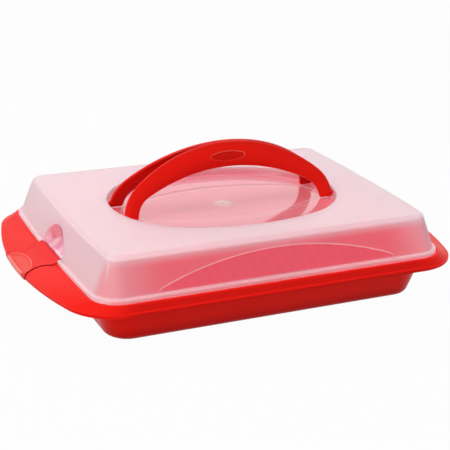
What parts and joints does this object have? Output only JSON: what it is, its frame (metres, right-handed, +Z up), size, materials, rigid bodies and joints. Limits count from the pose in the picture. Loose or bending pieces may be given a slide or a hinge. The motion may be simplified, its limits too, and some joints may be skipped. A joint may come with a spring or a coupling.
{
  "type": "cake carrier",
  "caption": "Rectangular cake carrier: tapered tray with crescent carrying wings, frosted lift-off lid, folding arched handle halves and snap latches.",
  "frame": {"origin": "under the middle of the tray, on the surface it stands on", "axes": "+X along the carrier's length, through both wings; +Y across it; +Z up"},
  "size_m": [0.4828, 0.3234, 0.1579],
  "materials": {
    "tray_red": "smooth moulded polypropylene, soft gloss",
    "lid_frosted": "frosted translucent polypropylene with a smoother well and niches",
    "handle_red": "smooth moulded polypropylene, soft gloss",
    "latch_red": "smooth moulded polypropylene, soft gloss"
  },
  "bodies": {
    "tray": {"base_tray": "tray_red"},
    "lid": {"lid": "lid_frosted"},
    "handle_front": {"handle_front": "handle_red"},
    "handle_back": {"handle_back": "handle_red"},
    "latch_left": {"latch_left": "latch_red"},
    "latch_right": {"latch_right": "latch_red"}
  },
  "joints": [
    {"name": "lid_lift", "type": "slide", "parent": "tray", "child": "lid", "axis": [0, 0, 1], "range_m": [0, 0.12]},
    {"name": "handle_front_fold", "type": "hinge", "parent": "lid", "child": "handle_front", "pos_m": [0, -0.0234, 0.09112], "axis": [1, 0, 0], "range_deg": [0, 107.7]},
    {"name": "handle_back_fold", "type": "hinge", "parent": "lid", "child": "handle_back", "pos_m": [0, 0.0234, 0.09112], "axis": [-1, 0, 0], "range_deg": [0, 107.7]},
    {"name": "latch_left_swing", "type": "hinge", "parent": "lid", "child": "latch_left", "pos_m": [-0.2005, 0, 0.0528], "axis": [0, 1, 0], "range_deg": [0, 95]},
    {"name": "latch_right_swing", "type": "hinge", "parent": "lid", "child": "latch_right", "pos_m": [0.2005, 0, 0.0528], "axis": [0, -1, 0], "range_deg": [0, 95]}
  ]
}
